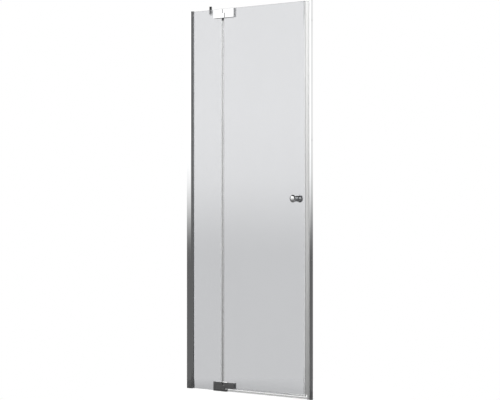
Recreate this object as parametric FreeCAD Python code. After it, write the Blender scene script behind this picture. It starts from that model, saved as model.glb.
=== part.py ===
import FreeCAD, Part
import math
import os

# Pivot shower door for a niche. A fixed glass panel stands in a wall profile and carries a glass door on
# two pivot hinges. The door swings outwards and closes on a slim magnetic strike profile.
# Millimetres. +X runs along the niche from the hinge-side wall, +Y into the shower, +Z up.
# The origin is on the tray, at the hinge-side wall, on the mid-plane of the glass.

# Whole door
NICHE_WIDTH = 900.0
HEIGHT = 2000.0
GLASS = 6.0
GLASS_ARRIS = 0.7
FIXED_FLOOR_GAP = 2.0
DOOR_FLOOR_GAP = 14.0
NOTCH_RADIUS = 4.0

# Fits, and how far a cutting tool runs past what it cuts
PRESS_GAP = 0.02
RUNNING_GAP = 0.05
SLIDE_GAP = 0.3
THREAD_GAP = 0.05
OVERCUT = 1.0

# Wall channel and the glazing profile that slides over it
CHANNEL_WALL = 1.8
CHANNEL_DEPTH = 16.0
COVER_WALL = 1.6
COVER_HALF = 14.0
COVER_SHADOW_GAP = 1.0
COVER_CORNER = 1.2
BEAD_START = 14.0
BEAD_LENGTH = 5.6
BEAD_LIP = 1.4
WEB = 2.0
WEB_GAP = 2.0
GASKET = 1.2
GASKET_BASE = 2.0
GASKET_LIP = 0.5
CAP = 3.0
CAP_PEG = 8.0
WALL_HOLE_R = 2.6
WALL_HOLES = 4
WALL_HOLE_END = 100.0
ADJUST_SCREW_R = 2.0
ADJUST_HEAD_R = 3.8
ADJUST_HEAD = 1.9
ADJUST_HEAD_EDGE = 0.6
ADJUST_SOCKET = 1.3
ADJUST_SCREW_INSET = 7.0
ADJUST_SCREWS = 3
ADJUST_SCREW_END = 300.0

# Pivot hinges
AXIS_X = 276.5
AXIS_INSET = 6.0
LEAF_REACH = 76.5
PLATE = 7.0
CLAMP_GASKET = 1.0
GASKET_INSET = 0.8
BEVEL = 0.9
KNUCKLE_R = 8.5
KNUCKLE_GAP = 2.0
GLASS_SETBACK = 20.0
SPINE_GAP = 1.0
PLATE_SEAM = 0.3
TOP_LEAF_HEIGHT = 47.0
TOP_SPLIT = 26.0
BOTTOM_LEAF_HEIGHT = 48.0
BOTTOM_SPLIT = 32.0
FOOT_R = 19.0
FOOT_TOP = 13.0
FOOT_CLEARANCE = 4.0
PIN_R = 3.0
PIN_RECESS = 1.0
PIN_END_COVER = 5.0
BUSH_WALL = 1.5
WASHER = 1.2
CLAMP_SCREW_R = 2.5
CLAMP_SCREW_BITE = 4.5
CLAMP_HEAD_R = 4.8
CLAMP_HOLE_R = 6.0
CLAMP_SCREW_PITCH = 25.0
CLAMP_SCREW_EDGE = 15.5
SCREW_CLEARANCE = 0.25
HEX_KEY = 3.0
HEX_DEPTH = 2.2
SET_SCREW_KEY = 2.0
NOTCH_CLEARANCE = 2.0

# Seals
SEAL_WALL = 1.0
SEAL_GRIP = 10.0
SEAL_CORNER = 1.2
BULB_R = 5.8
BULB_WALL = 1.2
BULB_NECK = 5.0
BULB_DOOR_GAP = 1.4
PLUG_R = 4.0
TOP_PLUG = 13.0
BOTTOM_PLUG = 2.0
PLUG_STEM = 10.0
DOOR_EDGE_OVERHANG = 6.0
MAGNET_WIDTH = 6.0
MAGNET_DEPTH = 6.4
MAGNET_WALL = 1.5
MAGNET_GAP = 0.6
DOOR_SEAL_NECK = 3.5
BOTTOM_WEB = 5.0
WIPER = 2.4
WIPER_FLOOR_GAP = 1.0
DRIP_LIP = 1.4
DRIP_REACH = 5.0
DRIP_DROP = 8.0
BOTTOM_SEAL_START = 1.6

# Strike profile on the far wall
STRIKE_WIDTH = 12.0
STRIKE_HALF = 7.5
STRIKE_WALL = 1.8
STRIKE_CORNER = 3.0
STRIKE_CAP = 2.0
STRIKE_SEAL_FOOT = 6.0
STRIKE_SEAL_REACH = 17.4

# Door knob
KNOB_EDGE_INSET = 62.5
KNOB_Z = 1007.5
KNOB_LENGTH = 27.5
KNOB_DISC_R = 19.5
KNOB_DISC = 6.5
KNOB_RIM = 4.2
KNOB_BACK_RIM = 1.2
KNOB_WAIST_R = 15.0
KNOB_COVE = 1.0
KNOB_WASHER = 1.0
KNOB_WASHER_R = 13.4
KNOB_HOLE_R = 6.0
KNOB_STUD_R = 3.0
KNOB_STUD_BITE = 12.0
GRUB_R = 2.0
GRUB_LENGTH = 7.0

# Stabiliser from the top of the fixed glass back to the hinge-side wall
STAY_X = 168.5
STAY_CLAMP_R = 8.0
STAY_CLAMP_FLAT = 5.8
STAY_CLAMP_DOWN = 19.0
STAY_CLAMP_UP = 19.0
STAY_LINER = 1.0
STAY_LINER_TOP = 3.0
STAY_EDGE = 1.2
STAY_BAR_R = 5.0
STAY_BAR_RISE = 10.5
STAY_BAR_OVERRUN = 1.0
STAY_FLANGE_R = 15.0
STAY_FLANGE = 5.0
STAY_FLANGE_EDGE = 1.5
STAY_BOSS_R = 8.0
STAY_BOSS = 28.0
STAY_SOCKET = 11.0
STAY_HOLE_R = 2.2
STAY_HOLE_SPACING = 22.0
STAY_SCREW_R = 2.5

# Sizes that follow from the ones above
HALF_GLASS = GLASS / 2
HINGE_HALF = HALF_GLASS + CLAMP_GASKET + PLATE
AXIS_Y = AXIS_INSET - HINGE_HALF
LEAF_END = KNUCKLE_R + KNUCKLE_GAP
SPINE_END = GLASS_SETBACK - SPINE_GAP
KNUCKLE_SPLIT_GAP = WASHER + SLIDE_GAP
BUSH_R = PIN_R + RUNNING_GAP + BUSH_WALL
FIXED_GLASS_EDGE = AXIS_X - GLASS_SETBACK
DOOR_GLASS_EDGE = AXIS_X - DOOR_EDGE_OVERHANG
CHANNEL_HALF = COVER_HALF - COVER_WALL - SLIDE_GAP
ADJUST_SCREW_X = CHANNEL_DEPTH - ADJUST_SCREW_INSET
WEB_X = CHANNEL_DEPTH + WEB_GAP
POCKET_X = WEB_X + WEB
COVER_FACE = POCKET_X + BEAD_START
BEAD_TIP = COVER_FACE + BEAD_LENGTH
POCKET_HALF = HALF_GLASS + GASKET
FIXED_GLASS_START = POCKET_X + GASKET_BASE
STRIKE_X = NICHE_WIDTH - STRIKE_WIDTH
MAGNET_BOX = MAGNET_WIDTH + 2 * MAGNET_WALL
STRIKE_SEAL_FACE = STRIKE_X - STRIKE_SEAL_REACH
DOOR_SEAL_FACE = STRIKE_SEAL_FACE - MAGNET_GAP
DOOR_SEAL_HEAD = DOOR_SEAL_FACE - MAGNET_BOX
DOOR_EDGE_X = DOOR_SEAL_HEAD - DOOR_SEAL_NECK - SEAL_WALL
KNOB_X = DOOR_EDGE_X - KNOB_EDGE_INSET
FULL_CUT = (-OVERCUT, HEIGHT + OVERCUT)
TOP_HINGE_BASE = HEIGHT - TOP_LEAF_HEIGHT
GRIP_HALF = HALF_GLASS + SEAL_WALL
STAY_Z = HEIGHT + STAY_BAR_RISE
STAY_AXIS = FreeCAD.Vector(1, -1, 0).normalize()
STAY_SPAN = STAY_X * math.sqrt(2)
MAGNET_BOX_HALF = MAGNET_DEPTH / 2 + MAGNET_WALL

UP = FreeCAD.Vector(0, 0, 1)
INWARD = FreeCAD.Vector(0, 1, 0)
ALONG = FreeCAD.Vector(1, 0, 0)


def block(x, y, z):
    """Box between the low and high values given for each axis, in either order."""
    low = FreeCAD.Vector(min(x), min(y), min(z))
    return Part.makeBox(abs(x[1] - x[0]), abs(y[1] - y[0]), abs(z[1] - z[0]), low)


def rod(start, direction, radius, length):
    """Cylinder from a start point along a direction."""
    return Part.makeCylinder(radius, length, FreeCAD.Vector(*start), direction)


def prism(outline, z):
    """Straight extrusion of a plan outline between two heights."""
    points = [FreeCAD.Vector(px, py, z[0]) for px, py in outline]
    return Part.Face(Part.makePolygon(points + points[:1])).extrude(UP * (z[1] - z[0]))


def rail(section, x):
    """Straight extrusion of a (y, z) section along the niche."""
    points = [FreeCAD.Vector(x[0], py, pz) for py, pz in section]
    return Part.Face(Part.makePolygon(points + points[:1])).extrude(ALONG * (x[1] - x[0]))


def hex_recess(centre, direction, key, depth):
    """Hexagonal key socket to cut into a screw, as wide across its flats as the key."""
    ring = Part.makeCircle(key / math.sqrt(3), FreeCAD.Vector(*centre), direction)
    return Part.Face(Part.makePolygon(ring.discretize(7))).extrude(direction * depth)


def spaced(count, end):
    """Even heights over the whole door, with the first and last this far from its ends."""
    return [end + step * (HEIGHT - 2 * end) / (count - 1) for step in range(count)]


def upright_edges(shape, places):
    """Vertical edges of a shape that stand at the given plan positions."""
    found = []
    for edge in shape.Edges:
        low, high = edge.Vertexes[0].Point, edge.Vertexes[-1].Point
        for px, py in places:
            at_place = abs(low.x - px) + abs(low.y - py) + abs(high.x - px) + abs(high.y - py) < 1e-6
            if at_place and abs(low.z - high.z) > 1e-6:
                found.append(edge)
    return found


def round_edges(shape, axis_point, radius, station):
    """Circular edges of a turned shape with a given radius at a given distance along Y."""
    found = []
    for edge in shape.Edges:
        if isinstance(edge.Curve, Part.Circle):
            same_size = abs(edge.Curve.Radius - radius) < 1e-6
            if same_size and abs(edge.Curve.Center.y - axis_point[1] - station) < 1e-6:
                found.append(edge)
    return found


def mirrored(pairs):
    """Outline of one half, followed by its mirror image across the glass plane."""
    return pairs + [(x, -y) for x, y in reversed(pairs)]


def save(name, *solids):
    """Write one node, as a solid or as a group of separate solids."""
    shape = solids[0] if len(solids) == 1 else Part.makeCompound(list(solids))
    shape.exportStep("parts/" + name + ".step")


def arrised(pane):
    """Grind the long and short edges of a pane on both faces."""
    edges = []
    for edge in pane.Edges:
        ends = [vertex.Point.y for vertex in edge.Vertexes]
        if all(abs(abs(y) - HALF_GLASS) < 1e-6 for y in ends) and abs(ends[0] - ends[-1]) < 1e-6:
            edges.append(edge)
    return pane.makeChamfer(GLASS_ARRIS, edges)


def through_glass(x, z, radius):
    """Drilling tool for a hole through a pane."""
    return rod((x, -HALF_GLASS - OVERCUT, z), INWARD, radius, GLASS + 2 * OVERCUT)


def wall_channel():
    """Channel screwed to the hinge-side wall."""
    half = CHANNEL_HALF
    channel = block((0, CHANNEL_DEPTH), (-half, half), (0, HEIGHT))
    inside = half - CHANNEL_WALL
    hollow_x = (CHANNEL_WALL, CHANNEL_DEPTH + OVERCUT)
    channel = channel.cut(block(hollow_x, (-inside, inside), FULL_CUT))
    for height in spaced(WALL_HOLES, WALL_HOLE_END):
        channel = channel.cut(rod((-OVERCUT, 0, height), ALONG, WALL_HOLE_R, CHANNEL_WALL + 2 * OVERCUT))
    return channel.cut(adjusting_holes())


def adjusting_holes():
    """Holes for the adjusting screws through the inner legs of both profiles."""
    holes = []
    for height in spaced(ADJUST_SCREWS, ADJUST_SCREW_END):
        start = (ADJUST_SCREW_X, CHANNEL_HALF - CHANNEL_WALL - OVERCUT, height)
        holes.append(rod(start, INWARD, ADJUST_SCREW_R + THREAD_GAP, COVER_HALF))
    return Part.makeCompound(holes)


def bead_outline(inset):
    """Half plan of the glazing profile's outer wall, pulled in by a wall thickness."""
    slope = math.atan2(COVER_HALF - POCKET_HALF - BEAD_LIP, BEAD_TIP - COVER_FACE)
    shift = inset * math.tan(slope / 2)
    tip = BEAD_TIP - inset / math.sin(slope)
    return [(COVER_FACE - shift, COVER_HALF - inset), (tip, POCKET_HALF + BEAD_LIP)]


def glazing_profile():
    """Cover profile over the wall channel, with the pocket that holds the fixed glass."""
    knee, tip = bead_outline(0.0)
    outer = prism(mirrored([(COVER_SHADOW_GAP, COVER_HALF), knee, tip]), (0, HEIGHT))
    outer = outer.makeFillet(COVER_CORNER, upright_edges(outer, [knee, (knee[0], -knee[1])]))
    cavity = COVER_HALF - COVER_WALL
    profile = outer.cut(block((-OVERCUT, WEB_X), (-cavity, cavity), FULL_CUT))
    pocket = block((POCKET_X, BEAD_TIP + OVERCUT), (-POCKET_HALF, POCKET_HALF), FULL_CUT)
    profile = profile.cut(pocket)
    for side in (-1, 1):
        profile = profile.cut(chamber(side, FULL_CUT, 0.0))
    return profile.cut(adjusting_holes())


def chamber(side, z, clearance):
    """Hollow beside the glass pocket, or a peg that fits it with some clearance."""
    knee, tip = bead_outline(COVER_WALL + clearance)
    inner = POCKET_HALF + BEAD_LIP + clearance
    start = POCKET_X + clearance
    corners = [(start, inner), (tip[0], inner), knee, (start, knee[1])]
    return prism([(px, side * py) for px, py in corners], z)


def profile_cap():
    """Cap on top of the glazing profile, held by pegs in its two chambers."""
    knee, tip = bead_outline(0.0)
    cap = prism(mirrored([(0, COVER_HALF), knee, tip]), (HEIGHT, HEIGHT + CAP))
    cap = cap.makeFillet(COVER_CORNER, upright_edges(cap, [knee, (knee[0], -knee[1])]))
    for side in (-1, 1):
        cap = cap.fuse(chamber(side, (HEIGHT - CAP_PEG, HEIGHT), SLIDE_GAP))
    return cap.removeSplitter()


def glazing_gasket():
    """Rubber channel between the fixed glass and its pocket."""
    height = (FIXED_FLOOR_GAP, HEIGHT)
    gasket = block((POCKET_X, BEAD_TIP + GASKET_LIP), (-POCKET_HALF, POCKET_HALF), height)
    return gasket.cut(block((FIXED_GLASS_START, NICHE_WIDTH), (-HALF_GLASS, HALF_GLASS), FULL_CUT))


def adjusting_screws():
    """Pan-head screws that fix the glazing profile to the wall channel, on the shower side."""
    screws = []
    for height in spaced(ADJUST_SCREWS, ADJUST_SCREW_END):
        start = (ADJUST_SCREW_X, CHANNEL_HALF - CHANNEL_WALL, height)
        length = COVER_HALF - start[1]
        head_start = (ADJUST_SCREW_X, COVER_HALF, height)
        head = rod(head_start, INWARD, ADJUST_HEAD_R, ADJUST_HEAD)
        head = head.makeFillet(ADJUST_HEAD_EDGE, round_edges(head, head_start, ADJUST_HEAD_R, ADJUST_HEAD))
        head_end = (ADJUST_SCREW_X, COVER_HALF + ADJUST_HEAD, height)
        recess = hex_recess(head_end, -INWARD, HEX_KEY, ADJUST_SOCKET)
        screws.append(rod(start, INWARD, ADJUST_SCREW_R, length).fuse(head).removeSplitter().cut(recess))
    return screws


def leaf_heights():
    """Name, fixed leaf heights, door leaf heights and split height of each hinge."""
    top = (TOP_HINGE_BASE, HEIGHT)
    bottom_door = (FOOT_TOP + FOOT_CLEARANCE, BOTTOM_LEAF_HEIGHT)
    return (
        ("top", top, top, TOP_HINGE_BASE + TOP_SPLIT),
        ("bottom", (0.0, BOTTOM_LEAF_HEIGHT), bottom_door, BOTTOM_SPLIT),
    )


def bevel_envelope(side, z):
    """Bevelled outer shape of a leaf: every body and plate of the hinge is trimmed to it."""
    half, cut = HINGE_HALF, BEVEL
    section = [(half - cut, z[0]), (half, z[0] + cut), (half, z[1] - cut), (half - cut, z[1])]
    section += [(-py, pz) for py, pz in reversed(section)]
    far = AXIS_X - side * LEAF_REACH
    end = AXIS_X + side * LEAF_REACH
    plan = [(far, half), (end - side * cut, half), (end, half - cut)]
    return rail(section, sorted((far, end))).common(prism(mirrored(plan), z))


def clamp_screw_places(side, z):
    """Plan position and height of a leaf's clamping screws."""
    outer = LEAF_REACH - CLAMP_SCREW_EDGE
    return [(AXIS_X + side * offset, (z[0] + z[1]) / 2) for offset in (outer - CLAMP_SCREW_PITCH, outer)]


def hinge_body(side, z, knuckle_z):
    """Outer leaf with its spine and knuckle; side is -1 on the fixed panel and 1 on the door."""
    half = HINGE_HALF
    across = (-half, half)
    near, far = AXIS_X + side * LEAF_END, AXIS_X + side * LEAF_REACH
    knuckle = block((AXIS_X - side * KNUCKLE_R, near), across, knuckle_z)
    corner_x = (AXIS_X, AXIS_X - side * (KNUCKLE_R + OVERCUT))
    corner = block(corner_x, (-half - OVERCUT, AXIS_Y), knuckle_z)
    barrel = rod((AXIS_X, AXIS_Y, knuckle_z[0]), UP, KNUCKLE_R, knuckle_z[1] - knuckle_z[0])
    knuckle = knuckle.cut(corner.cut(barrel))
    body = block((near, far), across, z).fuse(knuckle)
    pocket_x = (AXIS_X + side * SPINE_END, far + side * OVERCUT)
    pocket = block(pocket_x, (-HALF_GLASS - CLAMP_GASKET, half + OVERCUT), (z[0] - OVERCUT, z[1] + OVERCUT))
    body = body.cut(pocket).common(bevel_envelope(side, z))
    for px, pz in clamp_screw_places(side, z):
        start = (px, -HALF_GLASS - CLAMP_GASKET - CLAMP_SCREW_BITE - SCREW_CLEARANCE, pz)
        body = body.cut(rod(start, INWARD, CLAMP_SCREW_R + THREAD_GAP, PLATE))
    return body.removeSplitter()


def hinge_foot():
    """Foot of the bottom hinge that reaches under the door leaf and stands on the tray."""
    reach = block((AXIS_X - LEAF_END, AXIS_X + FOOT_R), (-HINGE_HALF, HINGE_HALF), (0, FOOT_TOP))
    return reach.common(rod((AXIS_X, AXIS_Y, 0), UP, FOOT_R, FOOT_TOP))


def clamp_plate(side, z):
    """Inner plate that clamps the glass against the leaf."""
    x = (AXIS_X + side * (SPINE_END + PLATE_SEAM), AXIS_X + side * LEAF_REACH)
    plate = block(x, (HALF_GLASS + CLAMP_GASKET, HINGE_HALF), z).common(bevel_envelope(side, z))
    for px, pz in clamp_screw_places(side, z):
        plate = plate.cut(rod((px, 0, pz), INWARD, CLAMP_SCREW_R + SCREW_CLEARANCE, HINGE_HALF + OVERCUT))
        plate = plate.cut(screw_head(px, pz, SCREW_CLEARANCE))
    return plate


def screw_head(px, pz, clearance):
    """Countersunk head flush with the clamp plate, or its seat when given a clearance."""
    depth = CLAMP_HEAD_R - CLAMP_SCREW_R
    start = FreeCAD.Vector(px, HINGE_HALF - depth, pz)
    return Part.makeCone(CLAMP_SCREW_R + clearance, CLAMP_HEAD_R + clearance, depth, start, INWARD)


def clamp_gaskets(side, z):
    """Gaskets on both faces of the glass under a leaf."""
    gaskets = []
    for face in (-1, 1):
        reach = (GLASS_SETBACK + GASKET_INSET, LEAF_REACH - GASKET_INSET)
        x = [AXIS_X + side * distance for distance in reach]
        low = max(z[0], FIXED_FLOOR_GAP) + GASKET_INSET
        gasket = block(x, (face * HALF_GLASS, face * (HALF_GLASS + CLAMP_GASKET)), (low, z[1] - GASKET_INSET))
        for px, pz in clamp_screw_places(side, z):
            gasket = gasket.cut(rod((px, -HINGE_HALF, pz), INWARD, CLAMP_HOLE_R, 2 * HINGE_HALF))
        gaskets.append(gasket)
    return gaskets


def clamp_screws(side, z):
    """Countersunk key screws that draw the clamp plate to the leaf."""
    screws = []
    for px, pz in clamp_screw_places(side, z):
        start = -HALF_GLASS - CLAMP_GASKET - CLAMP_SCREW_BITE
        shank = rod((px, start, pz), INWARD, CLAMP_SCREW_R, HINGE_HALF - start)
        screw = shank.fuse(screw_head(px, pz, 0.0)).removeSplitter()
        screws.append(screw.cut(hex_recess((px, HINGE_HALF, pz), -INWARD, HEX_KEY, HEX_DEPTH)))
    return screws


def axis_rod(z, radius):
    """Cylinder on the pivot axis."""
    return rod((AXIS_X, AXIS_Y, z[0]), UP, radius, z[1] - z[0])


def save_hinge(name, fixed_z, door_z, split):
    """Both leaves of one pivot hinge, with its pin, bush and thrust washer."""
    lower = (fixed_z[0], split - KNUCKLE_SPLIT_GAP / 2)
    upper = (split + KNUCKLE_SPLIT_GAP / 2, door_z[1])
    pin_z = (fixed_z[0] + PIN_RECESS, door_z[1] - PIN_END_COVER)
    bush_z = (upper[0], pin_z[1] + PIN_RECESS)
    fixed = hinge_body(-1, fixed_z, lower)
    if name == "bottom":
        fixed = fixed.fuse(hinge_foot()).removeSplitter()
    fixed = fixed.cut(axis_rod((fixed_z[0] - OVERCUT, lower[1] + OVERCUT), PIN_R + PRESS_GAP))
    door = hinge_body(1, door_z, upper)
    door = door.cut(axis_rod((upper[0] - OVERCUT, bush_z[1]), BUSH_R + PRESS_GAP))
    save(name + "_hinge_fixed_leaf", fixed)
    save(name + "_hinge_door_leaf", door)
    for side, label, z in ((-1, "fixed", fixed_z), (1, "door", door_z)):
        save(name + "_hinge_" + label + "_plate", clamp_plate(side, z))
        save(name + "_hinge_" + label + "_gaskets", *clamp_gaskets(side, z))
        save(name + "_hinge_" + label + "_screws", *clamp_screws(side, z))
    save(name + "_hinge_pin", axis_rod(pin_z, PIN_R))
    save(name + "_hinge_bush", axis_rod(bush_z, BUSH_R).cut(axis_rod(bush_z, PIN_R + RUNNING_GAP)))
    washer_z = (lower[1], lower[1] + WASHER)
    washer_r = AXIS_INSET - SLIDE_GAP
    save(name + "_hinge_washer", axis_rod(washer_z, washer_r).cut(axis_rod(washer_z, PIN_R + RUNNING_GAP)))


def fixed_glass():
    """Fixed pane, drilled for the clamping screws of both hinges."""
    pane = block((FIXED_GLASS_START, FIXED_GLASS_EDGE), (-HALF_GLASS, HALF_GLASS), (FIXED_FLOOR_GAP, HEIGHT))
    pane = arrised(pane)
    for _, fixed_z, _, _ in leaf_heights():
        for px, pz in clamp_screw_places(-1, fixed_z):
            pane = pane.cut(through_glass(px, pz, CLAMP_HOLE_R))
    return pane


def door_glass():
    """Door pane, notched at both hinges and drilled for screws and knob."""
    across = (-HALF_GLASS, HALF_GLASS)
    pane = block((DOOR_GLASS_EDGE, DOOR_EDGE_X), across, (DOOR_FLOOR_GAP, HEIGHT))
    notch_x = (DOOR_GLASS_EDGE - OVERCUT, AXIS_X + GLASS_SETBACK)
    low = (DOOR_FLOOR_GAP - OVERCUT, BOTTOM_LEAF_HEIGHT + NOTCH_CLEARANCE)
    high = (TOP_HINGE_BASE - NOTCH_CLEARANCE, HEIGHT + OVERCUT)
    for z, inner in ((low, low[1]), (high, high[0])):
        notch = block(notch_x, (-GLASS, GLASS), z)
        edges = []
        for edge in notch.Edges:
            ends = [vertex.Point for vertex in edge.Vertexes]
            if all(abs(end.x - notch_x[1]) + abs(end.z - inner) < 1e-6 for end in ends):
                edges.append(edge)
        pane = pane.cut(notch.makeFillet(NOTCH_RADIUS, edges))
    pane = arrised(pane)
    for _, _, door_z, _ in leaf_heights():
        for px, pz in clamp_screw_places(1, door_z):
            pane = pane.cut(through_glass(px, pz, CLAMP_HOLE_R))
    return pane.cut(through_glass(KNOB_X, KNOB_Z, KNOB_HOLE_R))


def gap_seal_range():
    """Heights between which the bulb seal runs, clear of the plugs at both hinges."""
    return BOTTOM_LEAF_HEIGHT + BOTTOM_PLUG, TOP_HINGE_BASE - TOP_PLUG


def bulb_centre():
    """Plan position of the bulb, just clear of the closed door."""
    return DOOR_GLASS_EDGE - BULB_DOOR_GAP - BULB_R


def gap_seal():
    """Seal with a hollow bulb, clipped on the fixed glass beside the door."""
    low, high = gap_seal_range()
    grip_x = (FIXED_GLASS_EDGE - SEAL_GRIP, FIXED_GLASS_EDGE + SEAL_WALL)
    grip = block(grip_x, (-GRIP_HALF, GRIP_HALF), (low, high))
    neck = block((FIXED_GLASS_EDGE, bulb_centre()), (-BULB_NECK / 2, BULB_NECK / 2), (low, high))
    bulb = rod((bulb_centre(), 0, low), UP, BULB_R, high - low)
    bore = rod((bulb_centre(), 0, low), UP, BULB_R - BULB_WALL, high - low)
    slot_x = (FIXED_GLASS_EDGE - SEAL_GRIP - OVERCUT, FIXED_GLASS_EDGE)
    slot = block(slot_x, (-HALF_GLASS, HALF_GLASS), (low, high))
    return grip.fuse([neck, bulb]).cut(bore).cut(slot).removeSplitter()


def gap_seal_plugs():
    """Round rubber plugs that close the bulb against the hinges."""
    low, high = gap_seal_range()
    stem_r = BULB_R - BULB_WALL - SLIDE_GAP / 2
    plugs = []
    for base, height, stem in ((low - BOTTOM_PLUG, BOTTOM_PLUG, low), (high, TOP_PLUG, high - PLUG_STEM)):
        plug = rod((bulb_centre(), 0, base), UP, PLUG_R, height)
        plugs.append(plug.fuse(rod((bulb_centre(), 0, stem), UP, stem_r, PLUG_STEM)).removeSplitter())
    return plugs


def bottom_seal():
    """Seal under the door: a grip on the glass, a solid web, a wiper and an inner drip lip."""
    base = DOOR_FLOOR_GAP
    web = base - BOTTOM_WEB
    grip_top = base + SEAL_GRIP
    x = (AXIS_X + FOOT_R + BOTTOM_SEAL_START, DOOR_SEAL_FACE)
    section = [(GRIP_HALF, grip_top), (GRIP_HALF, base), (GRIP_HALF + DRIP_REACH, base - DRIP_DROP),
               (GRIP_HALF + DRIP_REACH - DRIP_LIP, base - DRIP_DROP), (WIPER, web), (WIPER / 2, web),
               (WIPER / 2, WIPER_FLOOR_GAP), (-WIPER / 2, WIPER_FLOOR_GAP), (-WIPER / 2, web),
               (-GRIP_HALF, web), (-GRIP_HALF, grip_top)]
    seal = rail(section, x)
    across = (-HALF_GLASS, HALF_GLASS)
    seal = seal.cut(block((x[0] - OVERCUT, x[1] + OVERCUT), across, (base, grip_top + OVERCUT)))
    leaf_zone = (x[0] - OVERCUT, AXIS_X + LEAF_REACH + SLIDE_GAP)
    leaf_floor = FOOT_TOP + FOOT_CLEARANCE - SLIDE_GAP
    return seal.cut(block(leaf_zone, (-HINGE_HALF, HINGE_HALF), (leaf_floor, grip_top + OVERCUT)))


def magnet_box(x0, z):
    """Hollow head of a magnetic seal that starts at x0."""
    half = MAGNET_BOX_HALF
    head = block((x0, x0 + MAGNET_BOX), (-half, half), z)
    head = head.makeFillet(SEAL_CORNER, upright_edges(head, [(x0, -half), (x0, half)]))
    return head.cut(magnet_space(x0, z))


def magnet_space(x0, z):
    """Space for the magnet strip inside a seal's head."""
    start = x0 + MAGNET_WALL
    return block((start, start + MAGNET_WIDTH), (-MAGNET_DEPTH / 2, MAGNET_DEPTH / 2), z)


def magnet(x0, z):
    """Magnet strip, a loose fit in its head."""
    start, gap = x0 + MAGNET_WALL, PRESS_GAP
    half = MAGNET_DEPTH / 2 - gap
    return block((start + gap, start + MAGNET_WIDTH - gap), (-half, half), z)


def door_seal_range():
    """Heights of the door's magnetic seal, above the grip of the bottom seal."""
    return DOOR_FLOOR_GAP + SEAL_GRIP + SLIDE_GAP, HEIGHT


def door_magnet_seal():
    """Seal on the free edge of the door with the magnet in its head."""
    z = door_seal_range()
    edge = DOOR_EDGE_X
    grip = block((edge - SEAL_GRIP, edge + SEAL_WALL), (-GRIP_HALF, GRIP_HALF), z)
    grip = grip.cut(block((edge - SEAL_GRIP - OVERCUT, edge), (-HALF_GLASS, HALF_GLASS), z))
    neck = block((edge + SEAL_WALL, DOOR_SEAL_HEAD), (-SEAL_WALL, SEAL_WALL), z)
    return grip.fuse([neck, magnet_box(DOOR_SEAL_HEAD, z)]).removeSplitter()


def strike_seal():
    """Fixed magnetic seal pushed into the strike profile."""
    z = (0, HEIGHT)
    half = MAGNET_BOX_HALF
    head_x = (STRIKE_SEAL_FACE, STRIKE_SEAL_FACE + MAGNET_BOX)
    head = block(head_x, (-half, half), z).cut(magnet_space(STRIKE_SEAL_FACE, z))
    slot_half = STRIKE_HALF - STRIKE_WALL - PRESS_GAP
    web = block((head_x[1], STRIKE_X + STRIKE_SEAL_FOOT), (-half / 2, half / 2), z)
    foot = block((STRIKE_X + SEAL_WALL, STRIKE_X + STRIKE_SEAL_FOOT), (-slot_half, slot_half), z)
    return head.fuse([web, foot]).removeSplitter()


def strike_profile():
    """Slim profile on the far wall that holds the fixed magnetic seal."""
    outer = block((STRIKE_X, NICHE_WIDTH), (-STRIKE_HALF, STRIKE_HALF), (0, HEIGHT))
    corners = [(STRIKE_X, -STRIKE_HALF), (STRIKE_X, STRIKE_HALF)]
    outer = outer.makeFillet(STRIKE_CORNER, upright_edges(outer, corners))
    slot_half = STRIKE_HALF - STRIKE_WALL
    slot_x = (STRIKE_X - OVERCUT, NICHE_WIDTH - STRIKE_WALL)
    profile = outer.cut(block(slot_x, (-slot_half, slot_half), FULL_CUT))
    for height in spaced(WALL_HOLES, WALL_HOLE_END):
        start = (NICHE_WIDTH - STRIKE_WALL - OVERCUT, 0, height)
        profile = profile.cut(rod(start, ALONG, WALL_HOLE_R, STRIKE_WALL + 2 * OVERCUT))
    return profile


def strike_cap():
    """Cap on top of the strike profile, with a peg in its slot behind the seal."""
    cap = block((STRIKE_X, NICHE_WIDTH), (-STRIKE_HALF, STRIKE_HALF), (HEIGHT, HEIGHT + STRIKE_CAP))
    corners = [(STRIKE_X, -STRIKE_HALF), (STRIKE_X, STRIKE_HALF)]
    cap = cap.makeFillet(STRIKE_CORNER, upright_edges(cap, corners))
    peg_half = STRIKE_HALF - STRIKE_WALL - SLIDE_GAP
    peg_x = (STRIKE_X + STRIKE_SEAL_FOOT + SLIDE_GAP, NICHE_WIDTH - STRIKE_WALL - SLIDE_GAP)
    return cap.fuse(block(peg_x, (-peg_half, peg_half), (HEIGHT - CAP_PEG, HEIGHT))).removeSplitter()


def knob(side):
    """Turned knob: a disc on a straight waist; side is -1 outside and 1 in the shower."""
    base = (KNOB_X, side * (HALF_GLASS + KNOB_WASHER), KNOB_Z)
    outward = INWARD * side
    disc_start = KNOB_LENGTH - KNOB_DISC
    disc_base = (KNOB_X, base[1] + side * disc_start, KNOB_Z)
    body = rod(base, outward, KNOB_WAIST_R, disc_start).fuse(rod(disc_base, outward, KNOB_DISC_R, KNOB_DISC))
    body = body.removeSplitter()
    front = round_edges(body, base, KNOB_DISC_R, side * KNOB_LENGTH)
    body = body.makeFillet(KNOB_RIM, front)
    back = round_edges(body, base, KNOB_DISC_R, side * disc_start)
    body = body.makeFillet(KNOB_BACK_RIM, back)
    cove = round_edges(body, base, KNOB_WAIST_R, side * disc_start)
    body = body.makeFillet(KNOB_COVE, cove)
    return body.cut(rod(base, outward, KNOB_STUD_R + THREAD_GAP, KNOB_STUD_BITE + SLIDE_GAP))


def grub_axis():
    """Start of the set screw under the inner knob, where it meets the stud."""
    station = HALF_GLASS + KNOB_WASHER + KNOB_STUD_BITE / 2
    return KNOB_X, station, KNOB_Z - KNOB_STUD_R - THREAD_GAP


def knob_stud():
    """Threaded stud through the glass that joins both knobs."""
    half = HALF_GLASS + KNOB_WASHER + KNOB_STUD_BITE
    return rod((KNOB_X, -half, KNOB_Z), INWARD, KNOB_STUD_R, 2 * half)


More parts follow.
